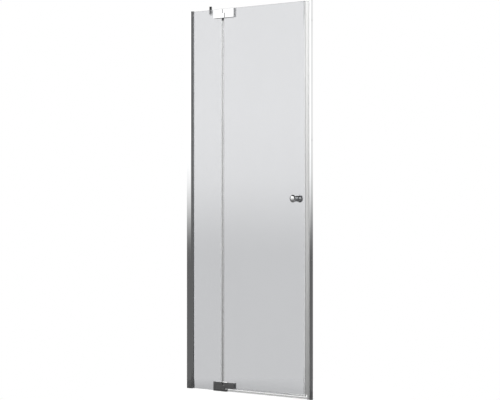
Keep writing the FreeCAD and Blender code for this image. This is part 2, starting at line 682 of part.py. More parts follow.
def knob_washers():
    """Clear washers between the knobs and the glass."""
    washers = []
    for side in (-1, 1):
        start = (KNOB_X, side * HALF_GLASS, KNOB_Z)
        ring = rod(start, INWARD * side, KNOB_WASHER_R, KNOB_WASHER)
        washers.append(ring.cut(rod(start, INWARD * side, KNOB_STUD_R + SCREW_CLEARANCE, KNOB_WASHER)))
    return washers


def knob_sleeve():
    """Sleeve that centres the stud in the glass."""
    start = (KNOB_X, -HALF_GLASS, KNOB_Z)
    sleeve = rod(start, INWARD, KNOB_HOLE_R - RUNNING_GAP, GLASS)
    return sleeve.cut(rod(start, INWARD, KNOB_STUD_R + SCREW_CLEARANCE, GLASS))


def set_screw(start, direction, radius, length):
    """Headless screw with a key socket in its outer end."""
    end = FreeCAD.Vector(*start) + direction * length
    socket = hex_recess(end, -direction, SET_SCREW_KEY, min(HEX_DEPTH, length / 2))
    return rod(start, direction, radius, length).cut(socket)


def stay_point(distance):
    """Point on the stabiliser's axis, measured from the wall."""
    return FreeCAD.Vector(0, STAY_X, STAY_Z) + STAY_AXIS * distance


def stay_bar_range():
    """Start and end of the bar along its axis, inside the wall boss and the glass clamp."""
    return STAY_SOCKET, STAY_SPAN + STAY_BAR_OVERRUN


def stay_rod(start, end, radius):
    """Cylinder on the stabiliser's axis."""
    return Part.makeCylinder(radius, end - start, stay_point(start), STAY_AXIS)


def stay_clamp_range():
    """Heights of the clamp's ends."""
    return HEIGHT - STAY_CLAMP_DOWN, HEIGHT + STAY_CLAMP_UP


def beyond_clamp_flat():
    """Cutting tool that leaves a flat on the clamp, square to the bar, on the side away from it."""
    low, high = stay_clamp_range()
    across, wide = STAY_AXIS.cross(UP), 2 * STAY_CLAMP_R
    corners = ((STAY_CLAMP_FLAT, -wide), (STAY_CLAMP_FLAT, wide), (wide, wide), (wide, -wide))
    plan = [stay_point(STAY_SPAN + out) + across * aside for out, aside in corners]
    return prism([(point.x, point.y) for point in plan], (low - OVERCUT, high + OVERCUT))


def stay_clamp():
    """Round clamp over the top edge of the fixed glass, bored for the bar."""
    low, high = stay_clamp_range()
    clamp = rod((STAY_X, 0, low), UP, STAY_CLAMP_R, high - low)
    rims = [edge for edge in clamp.Edges if isinstance(edge.Curve, Part.Circle)]
    clamp = clamp.makeChamfer(STAY_EDGE, rims).cut(beyond_clamp_flat())
    slot_half = HALF_GLASS + STAY_LINER
    slot_x = (STAY_X - STAY_CLAMP_R - OVERCUT, STAY_X + STAY_CLAMP_R + OVERCUT)
    clamp = clamp.cut(block(slot_x, (-slot_half, slot_half), (low - OVERCUT, HEIGHT + STAY_LINER_TOP)))
    start, end = stay_bar_range()
    clamp = clamp.cut(stay_rod(start, end + PRESS_GAP, STAY_BAR_R + PRESS_GAP))
    for screw_start, direction, length in stay_screw_places():
        hole = rod(screw_start, direction, STAY_SCREW_R + THREAD_GAP, length + STAY_EDGE + OVERCUT)
        clamp = clamp.cut(hole)
    return clamp


def stay_screw_places():
    """Start, direction and length of the clamp's screws: one on the bar, one on the glass liner."""
    bar_top = STAY_Z + STAY_BAR_R + PRESS_GAP
    slot_half = HALF_GLASS + STAY_LINER
    glass_z = HEIGHT - STAY_CLAMP_DOWN / 2
    return (
        ((STAY_X, 0, bar_top), UP, HEIGHT + STAY_CLAMP_UP - bar_top),
        ((STAY_X, slot_half, glass_z), INWARD, STAY_CLAMP_R - slot_half - STAY_EDGE),
    )


def stay_liner():
    """Rubber channel between the clamp and the glass."""
    half = HALF_GLASS + STAY_LINER
    low, high = HEIGHT - STAY_CLAMP_DOWN + GASKET_INSET, HEIGHT + STAY_LINER_TOP
    chord = math.sqrt(STAY_CLAMP_R ** 2 - half ** 2) - GASKET_INSET
    liner = block((STAY_X - chord, STAY_X + chord), (-half, half), (low, high))
    liner = liner.cut(block((0, NICHE_WIDTH), (-HALF_GLASS, HALF_GLASS), (0, HEIGHT)))
    return liner.cut(beyond_clamp_flat())


def stay_flange():
    """Wall flange with a slanted socket for the bar and two screw holes."""
    flange = Part.makeCylinder(STAY_FLANGE_R, STAY_FLANGE, FreeCAD.Vector(0, STAY_X, STAY_Z), ALONG)
    rim = [e for e in flange.Edges if isinstance(e.Curve, Part.Circle) and e.Curve.Center.x > STAY_FLANGE / 2]
    flange = flange.makeFillet(STAY_FLANGE_EDGE, rim)
    boss = stay_rod(-STAY_BOSS_R * 2, STAY_BOSS, STAY_BOSS_R)
    behind_wall = block((-STAY_BOSS * 2, 0), (0, STAY_X * 2), (STAY_Z - STAY_BOSS, STAY_Z + STAY_BOSS))
    flange = flange.fuse(boss.cut(behind_wall)).removeSplitter()
    flange = flange.cut(stay_rod(STAY_SOCKET - PRESS_GAP, STAY_BOSS + OVERCUT, STAY_BAR_R + PRESS_GAP))
    for side in (-1, 1):
        start = (-OVERCUT, STAY_X, STAY_Z + side * STAY_HOLE_SPACING / 2)
        flange = flange.cut(rod(start, ALONG, STAY_HOLE_R, STAY_FLANGE + STAY_BOSS))
    start, length = stay_grub()
    return flange.cut(rod(start, -UP, GRUB_R + THREAD_GAP, length + OVERCUT))


def stay_grub():
    """Start and length of the set screw that holds the bar in the wall flange, from below."""
    place = stay_point((STAY_SOCKET + STAY_BOSS) / 2)
    return (place.x, place.y, STAY_Z - STAY_BAR_R - PRESS_GAP), STAY_BOSS_R - STAY_BAR_R - PRESS_GAP


os.makedirs("parts", exist_ok=True)
save("wall_channel", wall_channel())
save("glazing_profile", glazing_profile())
save("profile_cap", profile_cap())
save("glazing_gasket", glazing_gasket())
save("adjusting_screws", *adjusting_screws())
save("fixed_glass", fixed_glass())
save("door_glass", door_glass())
for hinge in leaf_heights():
    save_hinge(*hinge)
save("gap_seal", gap_seal())
save("gap_seal_plugs", *gap_seal_plugs())
save("bottom_seal", bottom_seal())
save("door_magnet_seal", door_magnet_seal())
save("door_magnet", magnet(DOOR_SEAL_HEAD, door_seal_range()))
save("strike_seal", strike_seal())
save("strike_magnet", magnet(STRIKE_SEAL_FACE, (0, HEIGHT)))
save("strike_profile", strike_profile())
save("strike_cap", strike_cap())
save("knob_outer", knob(-1))
inner_knob = knob(1)
grub_place = grub_axis()
save("knob_inner", inner_knob.cut(rod(grub_place, -UP, GRUB_R + THREAD_GAP, KNOB_WAIST_R)))
save("knob_grub_screw", set_screw(grub_place, -UP, GRUB_R, GRUB_LENGTH))
save("knob_stud", knob_stud())
save("knob_washers", *knob_washers())
save("knob_sleeve", knob_sleeve())
save("stay_clamp", stay_clamp())
save("stay_liner", stay_liner())
save("stay_bar", stay_rod(*stay_bar_range(), STAY_BAR_R))
save("stay_flange", stay_flange())
save("stay_screws", *[set_screw(place[0], place[1], STAY_SCREW_R, place[2]) for place in stay_screw_places()])
flange_grub_start, flange_grub_length = stay_grub()
save("stay_grub_screw", set_screw(flange_grub_start, -UP, GRUB_R, flange_grub_length))
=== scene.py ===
"""Looks of a pivot shower door: chrome hinges and profiles, clear panes, vinyl seals and a turned knob.

Every solid of the frame keeps its place here and gets its finish, and the two knobs are turned anew with a
sloped border and finer rims. Units are metres in the frame's own axes: +X along the niche, +Y into the
shower, +Z up.
"""

from __future__ import annotations

import logging
import math
from dataclasses import dataclass, field
from enum import Enum

import bmesh
import bpy
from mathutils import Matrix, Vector

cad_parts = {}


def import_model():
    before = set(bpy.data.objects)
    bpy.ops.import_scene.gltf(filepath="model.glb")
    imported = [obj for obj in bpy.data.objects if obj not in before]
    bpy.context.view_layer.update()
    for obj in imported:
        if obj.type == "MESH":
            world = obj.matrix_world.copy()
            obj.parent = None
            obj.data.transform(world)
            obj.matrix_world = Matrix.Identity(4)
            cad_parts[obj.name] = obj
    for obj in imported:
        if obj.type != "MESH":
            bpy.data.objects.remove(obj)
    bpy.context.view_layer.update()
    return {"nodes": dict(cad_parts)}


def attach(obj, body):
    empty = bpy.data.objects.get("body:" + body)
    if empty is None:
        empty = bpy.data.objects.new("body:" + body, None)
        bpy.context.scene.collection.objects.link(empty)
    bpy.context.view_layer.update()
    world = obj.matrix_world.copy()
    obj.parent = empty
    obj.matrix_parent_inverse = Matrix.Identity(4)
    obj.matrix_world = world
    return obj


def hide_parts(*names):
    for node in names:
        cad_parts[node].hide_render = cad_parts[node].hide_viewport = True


LOG = logging.getLogger("shower_door")
NOISE_MIDDLE = (0.3, 0.7)
EVEN = (1.0, 1.0, 1.0)
Colour = tuple[float, float, float]
Triple = tuple[float, float, float]
Span = tuple[float, float]


class Body(Enum):
    """Bodies of the frame that pieces ride on."""

    FRAME = "frame"
    DOOR = "door"


class Axis(Enum):
    """Axes of the frame, as the shader nodes name them."""

    X = "X"
    Y = "Y"
    Z = "Z"


class Side(Enum):
    """Face of the door that a knob stands on, with its direction along Y."""

    OUTER = -1
    INNER = 1


class Graph:
    """Small helper that adds and links the nodes of one material or world."""

    def __init__(self, tree: bpy.types.NodeTree) -> None:
        """Start from an empty tree.

        Args:
            tree: node tree to fill.
        """
        self.tree = tree
        tree.nodes.clear()

    def add(self, kind: str, **settings: object) -> bpy.types.Node:
        """Add a node and set its properties.

        Args:
            kind: Blender's type name of the node.
            settings: properties of the node by name.

        Returns:
            The new node.
        """
        node = self.tree.nodes.new(kind)
        for name, value in settings.items():
            setattr(node, name, value)
        return node

    def link(self, source: bpy.types.NodeSocket, target: bpy.types.NodeSocket) -> None:
        """Join an output socket to an input socket."""
        self.tree.links.new(source, target)

    def object_place(self, stretch: Triple = EVEN) -> bpy.types.NodeSocket:
        """Object coordinates, scaled along each axis.

        Args:
            stretch: factor for each axis; a small one draws a pattern out along that axis.

        Returns:
            Socket with the scaled coordinates.
        """
        place = self.add("ShaderNodeTexCoord")
        mapping = self.add("ShaderNodeMapping")
        mapping.inputs["Scale"].default_value = stretch
        self.link(place.outputs["Object"], mapping.inputs["Vector"])
        return mapping.outputs["Vector"]

    def noise(self, scale: float, detail: float, stretch: Triple = EVEN) -> bpy.types.NodeSocket:
        """Noise on Object coordinates.

        Args:
            scale: cells per metre.
            detail: octaves of the noise.
            stretch: factor for each axis.

        Returns:
            Socket with the noise value, from 0 to 1.
        """
        noise = self.add("ShaderNodeTexNoise")
        noise.inputs["Scale"].default_value = scale
        noise.inputs["Detail"].default_value = detail
        self.link(self.object_place(stretch), noise.inputs["Vector"])
        return noise.outputs["Fac"]

    def split(self, vector: bpy.types.NodeSocket) -> bpy.types.NodeOutputs:
        """Parts of a vector along each axis.

        Args:
            vector: socket to read.

        Returns:
            Sockets named X, Y and Z.
        """
        parts = self.add("ShaderNodeSeparateXYZ")
        self.link(vector, parts.inputs["Vector"])
        return parts.outputs

    def scaled(
        self, value: bpy.types.NodeSocket, limits: Span, results: Span, course: str = "LINEAR"
    ) -> bpy.types.NodeSocket:
        """Map a range of values to a range of results, held at both ends.

        Args:
            value: socket to read.
            limits: values at which the range starts and ends.
            results: results at these two values.
            course: Blender's name of the way between them.

        Returns:
            Socket with the result.
        """
        ranged = self.add("ShaderNodeMapRange", clamp=True, interpolation_type=course)
        for name, number in zip(("From Min", "From Max", "To Min", "To Max"), (*limits, *results)):
            ranged.inputs[name].default_value = number
        self.link(value, ranged.inputs["Value"])
        return ranged.outputs["Result"]

    def spread(self, value: bpy.types.NodeSocket, low: float, high: float) -> bpy.types.NodeSocket:
        """Map the middle of a noise value to a range from low to high."""
        return self.scaled(value, NOISE_MIDDLE, (low, high))

    def step(self, value: bpy.types.NodeSocket, limits: Span, results: Span) -> bpy.types.NodeSocket:
        """Soft step from one result to another between two limits."""
        return self.scaled(value, limits, results, "SMOOTHSTEP")

    def maths(self, operation: str, *terms: bpy.types.NodeSocket | float) -> bpy.types.NodeSocket:
        """Chain one operation over several terms.

        Args:
            operation: Blender's name of the operation.
            terms: sockets or plain numbers, two or more.

        Returns:
            Socket with the result.
        """
        total = terms[0]
        for term in terms[1:]:
            node = self.add("ShaderNodeMath", operation=operation)
            for socket, part in zip(node.inputs, (total, term)):
                if isinstance(part, float):
                    socket.default_value = part
                else:
                    self.link(part, socket)
            total = node.outputs["Value"]
        return total

    def absolute(self, value: bpy.types.NodeSocket) -> bpy.types.NodeSocket:
        """Value without its sign.

        Args:
            value: socket to read.

        Returns:
            Socket with the result.
        """
        node = self.add("ShaderNodeMath", operation="ABSOLUTE")
        self.link(value, node.inputs[0])
        return node.outputs["Value"]

    def tones(self, value: bpy.types.NodeSocket, dark: Colour, light: Colour) -> bpy.types.NodeSocket:
        """Blend two colours by a value, as a noise gives it.

        Args:
            value: blend from 0 to 1.
            dark: colour for low values.
            light: colour for high values.

        Returns:
            Socket with the colour.
        """
        ramp = self.add("ShaderNodeValToRGB")
        for stop, position, colour in zip(ramp.color_ramp.elements, NOISE_MIDDLE, (dark, light)):
            stop.position = position
            stop.color = (*colour, 1.0)
        self.link(value, ramp.inputs["Fac"])
        return ramp.outputs["Color"]

    def mix(
        self, share: bpy.types.NodeSocket, first: bpy.types.NodeSocket, second: bpy.types.NodeSocket
    ) -> bpy.types.NodeSocket:
        """Mix two shaders.

        Args:
            share: share of the second shader.
            first: shader for a share of 0.
            second: shader for a share of 1.

        Returns:
            Socket of the mixed shader.
        """
        node = self.add("ShaderNodeMixShader")
        for source, target in zip((share, first, second), node.inputs):
            self.link(source, target)
        return node.outputs["Shader"]

    def bump(self, value: bpy.types.NodeSocket, depth: float) -> bpy.types.NodeSocket:
        """Relief of a given depth in metres from a noise value.

        Args:
            value: height from 0 to 1.
            depth: height of the relief.

        Returns:
            Socket with the bent normal.
        """
        bump = self.add("ShaderNodeBump")
        bump.inputs["Strength"].default_value = 1.0
        bump.inputs["Distance"].default_value = depth
        self.link(value, bump.inputs["Height"])
        return bump.outputs["Normal"]


def shade(base: Colour, amount: float) -> Colour:
    """Colour made darker or lighter by a factor."""
    return tuple(min(1.0, part * amount) for part in base)


@dataclass(frozen=True)
class Finish:
    """Finish that all surfaces of one kind share; the base class of the ones below."""

    name: str
    slot: str
    colour: Colour

    def material(self) -> bpy.types.Material:
        """Make the material.

        Returns:
            The finished material.
        """
        made = bpy.data.materials.new(self.name)
        made.use_nodes = True
        graph = Graph(made.node_tree)
        shader = graph.add("ShaderNodeBsdfPrincipled")
        shader.inputs["Base Color"].default_value = (*self.colour, 1.0)
        output = graph.add("ShaderNodeOutputMaterial")
        graph.link(self.shade_surface(graph, shader), output.inputs["Surface"])
        return made

    def shade_surface(self, graph: Graph, shader: bpy.types.Node) -> bpy.types.NodeSocket:
        """Set up the shader.

        Args:
            graph: the material's nodes; not used here.
            shader: its Principled shader.

        Returns:
            Socket to show on the surface.
        """
        return shader.outputs["BSDF"]


@dataclass(frozen=True)
class PolishedChrome(Finish):
    """Mirror plate with faint wiping marks that follow the length of the piece."""

    smooth: float = 0.02
    wiped: float = 0.06
    wipe_scale: float = 120.0
    wipe_lines: Triple = (1.0, 1.0, 0.12)
    cloud_scale: float = 9.0
    cloud_tone: float = 0.97
    wave_scale: float = 60.0
    waviness: float = 0.000002

    def shade_surface(self, graph: Graph, shader: bpy.types.Node) -> bpy.types.NodeSocket:
        """Metal with wiping marks in its gloss and a very slight waviness.

        Args:
            graph: the material's nodes.
            shader: its Principled shader.

        Returns:
            Socket to show on the surface.
        """
        shader.inputs["Metallic"].default_value = 1.0
        wiping = graph.noise(self.wipe_scale, detail=4.0, stretch=self.wipe_lines)
        graph.link(graph.spread(wiping, self.smooth, self.wiped), shader.inputs["Roughness"])
        cloud = graph.tones(
            graph.noise(self.cloud_scale, detail=2.0), shade(self.colour, self.cloud_tone), self.colour
        )
        graph.link(cloud, shader.inputs["Base Color"])
        wave = graph.noise(self.wave_scale, detail=1.0)
        graph.link(graph.bump(wave, self.waviness), shader.inputs["Normal"])
        return shader.outputs["BSDF"]


@dataclass(frozen=True)
class BrushedMetal(Finish):
    """Satin metal with drawn lines along one axis."""

    lines: Triple = (1.0, 1.0, 0.03)
    line_scale: float = 900.0
    line_tone: float = 0.86
    groove: float = 0.000006
    gloss: Span = (0.2, 0.42)

    def shade_surface(self, graph: Graph, shader: bpy.types.Node) -> bpy.types.NodeSocket:
        """Metal whose gloss and tone vary along drawn lines.

        Args:
            graph: the material's nodes.
            shader: its Principled shader.

        Returns:
            Socket to show on the surface.
        """
        shader.inputs["Metallic"].default_value = 1.0
        drawn = graph.noise(self.line_scale, detail=3.0, stretch=self.lines)
        graph.link(graph.spread(drawn, *self.gloss), shader.inputs["Roughness"])
        tone = graph.tones(drawn, shade(self.colour, self.line_tone), self.colour)
        graph.link(tone, shader.inputs["Base Color"])
        graph.link(graph.bump(drawn, self.groove), shader.inputs["Normal"])
        return shader.outputs["BSDF"]


@dataclass(frozen=True)
class ToughenedGlass(Finish):
    """Clear toughened pane with an easy-clean coat, which mirrors more than bare glass."""

    ior: float = 1.52
    coat_ior: float = 1.5
    film_scale: float = 7.0
    film_lines: Triple = (1.0, 1.0, 0.35)
    film_haze: float = 0.012
    film_tone: float = 0.985
    shadow: Colour = (0.86, 0.87, 0.87)

    def shade_surface(self, graph: Graph, shader: bpy.types.Node) -> bpy.types.NodeSocket:
        """Glass that lets lamp light through to what stands behind it.

        Args:
            graph: the material's nodes.
            shader: its Principled shader.

        Returns:
            Socket to show on the surface.
        """
        shader.inputs["Transmission Weight"].default_value = 1.0
        shader.inputs["IOR"].default_value = self.ior
        shader.inputs["Coat Weight"].default_value = 1.0
        shader.inputs["Coat Roughness"].default_value = 0.0
        shader.inputs["Coat IOR"].default_value = self.coat_ior
        film = graph.noise(self.film_scale, detail=5.0, stretch=self.film_lines)
        graph.link(graph.spread(film, 0.0, self.film_haze), shader.inputs["Roughness"])
        tone = graph.tones(film, shade(self.colour, self.film_tone), self.colour)
        graph.link(tone, shader.inputs["Base Color"])
        clear = graph.add("ShaderNodeBsdfTransparent")
        clear.inputs["Color"].default_value = (*self.shadow, 1.0)
        path = graph.add("ShaderNodeLightPath")
        return graph.mix(path.outputs["Is Shadow Ray"], shader.outputs["BSDF"], clear.outputs["BSDF"])


@dataclass(frozen=True)
class ClearVinyl(Finish):
    """Clear extruded seal, a little cloudy, with fine draw lines along its length."""

    ior: float = 1.46
    lines: Triple = (1.0, 1.0, 0.002)
    line_scale: float = 1400.0
    line_tone: float = 0.95
    groove: float = 0.000002
    gloss: Span = (0.16, 0.26)
    cover: float = 0.06

    def shade_surface(self, graph: Graph, shader: bpy.types.Node) -> bpy.types.NodeSocket:
        """Mostly see-through plastic with a soft gloss.

        Args:
            graph: the material's nodes.
            shader: its Principled shader.

        Returns:
            Socket to show on the surface.
        """
        shader.inputs["IOR"].default_value = self.ior
        shader.inputs["Alpha"].default_value = self.cover
        drawn = graph.noise(self.line_scale, detail=2.0, stretch=self.lines)
        graph.link(graph.spread(drawn, *self.gloss), shader.inputs["Roughness"])
        tone = graph.tones(drawn, shade(self.colour, self.line_tone), self.colour)
        graph.link(tone, shader.inputs["Base Color"])
        graph.link(graph.bump(drawn, self.groove), shader.inputs["Normal"])
        return shader.outputs["BSDF"]


@dataclass(frozen=True)
class Band:
    """Stretch of a seal: where it starts along its axis, its colour and how much it covers."""

    start: float
    colour: Colour
    cover: float


@dataclass(frozen=True)
class BandedVinyl(ClearVinyl):
    """Seal whose colour and cover change from band to band along one axis; the grey band over the gap seal's
    bulb is painted shade.
    """

    axis: Axis = Axis.X
    bands: tuple[Band, ...] = ()
    border: float = 0.001

    def shade_surface(self, graph: Graph, shader: bpy.types.Node) -> bpy.types.NodeSocket:
        """Vinyl whose colour and cover change from band to band, under the same draw lines.

        Args:
            graph: the material's nodes.
            shader: its Principled shader.

        Returns:
            Socket to show on the surface.
        """
        shown = super().shade_surface(graph, shader)
        low, high = self.bands[1].start - self.border, self.bands[-1].start
        place = graph.split(graph.object_place())
        along = graph.scaled(place[self.axis.value], (low, high), (0.0, 1.0))
        ramp = graph.add("ShaderNodeValToRGB")
        graph.link(along, ramp.inputs["Fac"])
        stops = ramp.color_ramp.elements
        while len(stops) < 2 * len(self.bands) - 2:
            stops.new(0.5)
        for index, (before, after) in enumerate(zip(self.bands, self.bands[1:])):
            for stop, place_along, band in (
                (stops[2 * index], after.start - self.border, before),
                (stops[2 * index + 1], after.start, after),
            ):
                stop.position = (place_along - low) / (high - low)
                stop.color = (*band.colour, band.cover)
        graph.link(ramp.outputs["Alpha"], shader.inputs["Alpha"])
        tinted = graph.add("ShaderNodeVectorMath", operation="MULTIPLY")
        graph.link(shader.inputs["Base Color"].links[0].from_socket, tinted.inputs[0])
        graph.link(ramp.outputs["Color"], tinted.inputs[1])
        graph.link(tinted.outputs["Vector"], shader.inputs["Base Color"])
        return shown


@dataclass(frozen=True)
class MouldedRubber(Finish):
    """Matt rubber or soft polymer with a fine moulded grain."""

    grain: float = 2200.0
    relief: float = 0.00002
    matt: float = 0.55
    shinier: float = 0.08
    duller: float = 0.1
    cloud_scale: float = 40.0
    cloud_tone: float = 0.85

    def shade_surface(self, graph: Graph, shader: bpy.types.Node) -> bpy.types.NodeSocket:
        """Grainy surface with a dull gloss and slight clouding.

        Args:
            graph: the material's nodes.
            shader: its Principled shader.

        Returns:
            Socket to show on the surface.
        """
        grain = graph.noise(self.grain, detail=3.0)
        gloss = graph.spread(grain, self.matt - self.shinier, self.matt + self.duller)
        graph.link(gloss, shader.inputs["Roughness"])
        cloud = graph.noise(self.cloud_scale, detail=3.0)
        tone = graph.tones(cloud, shade(self.colour, self.cloud_tone), self.colour)
        graph.link(tone, shader.inputs["Base Color"])
        graph.link(graph.bump(grain, self.relief), shader.inputs["Normal"])
        return shader.outputs["BSDF"]


CHROME = PolishedChrome("polished_chrome", "chrome", (0.86, 0.865, 0.87))
CAP = PolishedChrome("plated_cap", "cap", (0.8, 0.805, 0.81), smooth=0.05, wiped=0.1)
CHANNEL = BrushedMetal("mill_aluminium", "chrome", (0.78, 0.79, 0.8))
STEEL = BrushedMetal("stainless_screw", "steel", (0.6, 0.61, 0.62), lines=(1.0, 0.04, 1.0))
GLASS = ToughenedGlass("toughened_glass", "glass", (0.660, 0.667, 0.683))
WHITE = (1.0, 1.0, 1.0)
CLEAR = (0.86, 0.87, 0.865)
MILKY = (0.93, 0.935, 0.93)
VINYL = ClearVinyl("clear_vinyl", "clear_seal", CLEAR)
# Gap seal: clear vinyl, a thin milky strip, then a grey band over the bulb that is painted shade of the gap
# between the panes.
BULB_VINYL = BandedVinyl(
    "bulb_vinyl", "clear_seal", WHITE, axis=Axis.X,
    bands=(Band(0.24, CLEAR, 0.06), Band(0.2562, MILKY, 0.6), Band(0.2576, (0.66, 0.67, 0.67), 0.3)),
)
# Bottom seal: greyer and less clear along its lowest 10.5 mm, clear vinyl above.
WIPER_VINYL = BandedVinyl(
    "wiper_vinyl", "clear_seal", WHITE, axis=Axis.Z,
    bands=(Band(0.0, (0.5, 0.51, 0.51), 0.38), Band(0.0105, CLEAR, 0.06)),
)
LATCH_VINYL = BandedVinyl(
    "latch_vinyl", "clear_seal", WHITE, axis=Axis.X,
    bands=(Band(0.84, CLEAR, 0.04), Band(0.857, MILKY, 0.48)),
)
MILKY_VINYL = ClearVinyl("milky_vinyl", "clear_seal", MILKY, cover=0.48)
PLUG_VINYL = BandedVinyl(
    "plug_vinyl", "rubber", WHITE, axis=Axis.Z,
    bands=(Band(0.0, CLEAR, 0.06), Band(1.9395, (0.03, 0.03, 0.032), 1.0)),
)
GREY_RUBBER = MouldedRubber("grey_rubber", "rubber", (0.42, 0.423, 0.427))
GREY_GASKET = MouldedRubber("grey_gasket", "gasket", (0.42, 0.43, 0.44), matt=0.45)
PALE_GASKET = MouldedRubber("pale_gasket", "gasket", (0.82, 0.83, 0.83), matt=0.45)
MAGNET = BrushedMetal(
    "foil_faced_magnet", "magnet", (0.95, 0.95, 0.945), line_scale=300.0, groove=0.0000005, gloss=(0.1, 0.14)
)
BUSH = MouldedRubber("bearing_polymer", "bush", (0.78, 0.78, 0.75), grain=1500.0, matt=0.38)


def new_piece(name: str, shape: bmesh.types.BMesh) -> bpy.types.Object:
    """Object at the origin from a finished shape, which is freed.

    Args:
        name: name of the piece.
        shape: its mesh, in place.

    Returns:
        The new object.
    """
    mesh = bpy.data.meshes.new(name)
    shape.to_mesh(mesh)
    shape.free()
    piece = bpy.data.objects.new(name, mesh)
    bpy.context.scene.collection.objects.link(piece)
    return piece


class Wardrobe:
    """Keeps one material for each finish and puts it on nodes of the frame."""

    def __init__(self, nodes: dict[str, bpy.types.Object]) -> None:
        """Remember the frame's nodes.

        Args:
            nodes: objects of the frame by name.
        """
        self.nodes = nodes
        self.made: dict[str, bpy.types.Material] = {}
        self.dressed: set[str] = set()

    def material(self, finish: Finish) -> bpy.types.Material:
        """Material of a finish, made at its first use.

        Args:
            finish: finish to make or find.

        Returns:
            Its material.
        """
        if finish.name not in self.made:
            self.made[finish.name] = finish.material()
        return self.made[finish.name]

    def dress(self, finish: Finish, *names: str) -> None:
        """Give nodes of the frame a finish.

        Args:
            finish: finish to give.
            names: names of the nodes.
        """
        for name in names:
            node = self.nodes[name]
            node.data.materials.clear()
            node.data.materials.append(self.material(finish))
            self.dressed.add(name)
            LOG.info("%s: %s", name, finish.name)

    def bare(self) -> list[str]:
        """Names of the nodes that have no finish yet."""
        return sorted(set(self.nodes) - self.dressed)


@dataclass
class WallProfile:
    """Channel on the hinge-side wall, with the glazing profile over it."""

    def dress(self, wardrobe: Wardrobe) -> None:
        """Finish the profile and what it holds.

        Args:
            wardrobe: gives each node its material.
        """
        wardrobe.dress(CHROME, "glazing_profile")
        wardrobe.dress(CHANNEL, "wall_channel")
        wardrobe.dress(CAP, "profile_cap")
        wardrobe.dress(GREY_RUBBER, "glazing_gasket")
        wardrobe.dress(STEEL, "adjusting_screws")


@dataclass
class Panes:
    """Fixed pane and door pane."""

    def dress(self, wardrobe: Wardrobe) -> None:
        """Finish both panes."""
        wardrobe.dress(GLASS, "fixed_glass", "door_glass")


@dataclass
class PivotHinge:
    """One of the two hinges, by its place."""

    place: str

    def dress(self, wardrobe: Wardrobe) -> None:
        """Finish the leaves, the clamping pieces and the pivot.

        Args:
            wardrobe: gives each node its material.
        """
        stem = f"{self.place}_hinge_"
        for leaf in ("fixed", "door"):
            wardrobe.dress(CHROME, f"{stem}{leaf}_leaf", f"{stem}{leaf}_plate")
            wardrobe.dress(PALE_GASKET, f"{stem}{leaf}_gaskets")
            wardrobe.dress(STEEL, f"{stem}{leaf}_screws")
        wardrobe.dress(STEEL, f"{stem}pin")
        wardrobe.dress(BUSH, f"{stem}bush", f"{stem}washer")


@dataclass
class Seals:
    """Seals between the panes, under the door and along the strike profile."""

    def dress(self, wardrobe: Wardrobe) -> None:
        """Finish the seals, their plugs and magnets, and the strike profile.

        Args:
            wardrobe: gives each node its material.
        """
        wardrobe.dress(BULB_VINYL, "gap_seal")
        wardrobe.dress(WIPER_VINYL, "bottom_seal")
        wardrobe.dress(LATCH_VINYL, "door_magnet_seal")
        wardrobe.dress(MILKY_VINYL, "strike_seal")
        wardrobe.dress(PLUG_VINYL, "gap_seal_plugs")
        wardrobe.dress(MAGNET, "door_magnet", "strike_magnet")
        wardrobe.dress(CHROME, "strike_profile")
        wardrobe.dress(CAP, "strike_cap")


